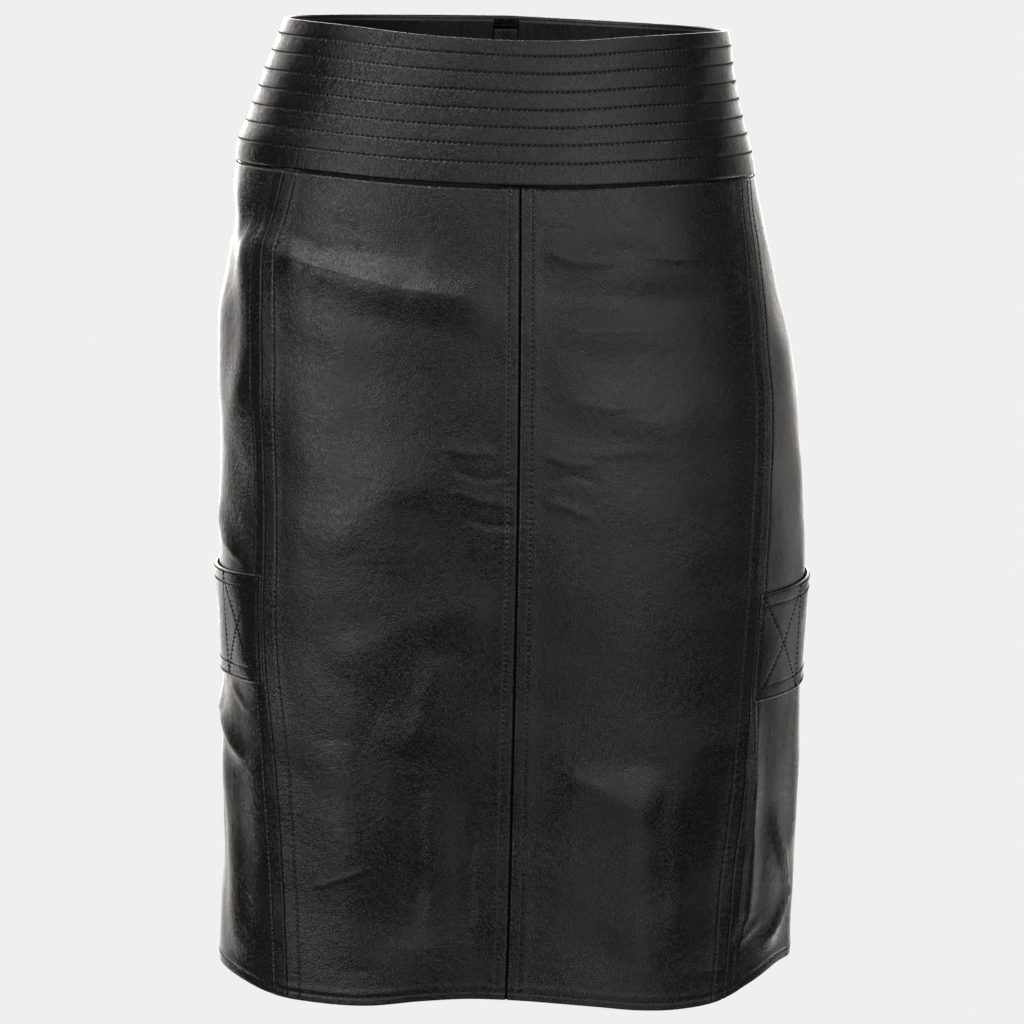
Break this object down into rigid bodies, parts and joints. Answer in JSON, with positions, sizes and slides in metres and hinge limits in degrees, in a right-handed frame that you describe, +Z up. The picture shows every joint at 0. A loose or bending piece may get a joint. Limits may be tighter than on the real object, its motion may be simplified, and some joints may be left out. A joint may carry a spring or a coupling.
{
  "type": "leather midi skirt",
  "caption": "Hollow leather midi skirt, as worn: wide stitched waistband, long panels, a strap on each side, concealed back zip with a hinged pull.",
  "frame": {"origin": "middle of the waist opening, at the height of the rim's sides", "axes": "+Z up along the body, -Y out of the centre front, +X to the side on the right of someone who looks at the front"},
  "size_m": [0.3694, 0.2613, 0.5976],
  "materials": {
    "black_leather": "semi-gloss black nappa, fine grain",
    "waistband_leather": "semi-gloss black nappa, quilted by rows of stitches",
    "strap_leather": "semi-gloss black nappa, edge-stitched",
    "facing_leather": "matt black leather",
    "zip_tape": "black woven tape",
    "zip_metal": "dark gunmetal"
  },
  "bodies": {
    "skirt": {"front_left": "black_leather", "front_right": "black_leather", "side_left": "black_leather", "side_right": "black_leather", "back_left": "black_leather", "back_right": "black_leather", "waistband_front": "waistband_leather", "waistband_back_left": "waistband_leather", "waistband_back_right": "waistband_leather", "facing_front": "facing_leather", "facing_back_left": "facing_leather", "facing_back_right": "facing_leather", "strap_left": "strap_leather", "strap_right": "strap_leather", "zip_tape": "zip_tape", "zip_slider": "zip_metal"},
    "pull": {"zip_pull": "zip_metal"}
  },
  "joints": [
    {"name": "pull_hinge", "type": "hinge", "parent": "skirt", "child": "pull", "pos_m": [-0.0005, 0.11019, -0.01268], "axis": [0.9991, 0.005, -0.0419], "range_deg": [0, 165]}
  ]
}
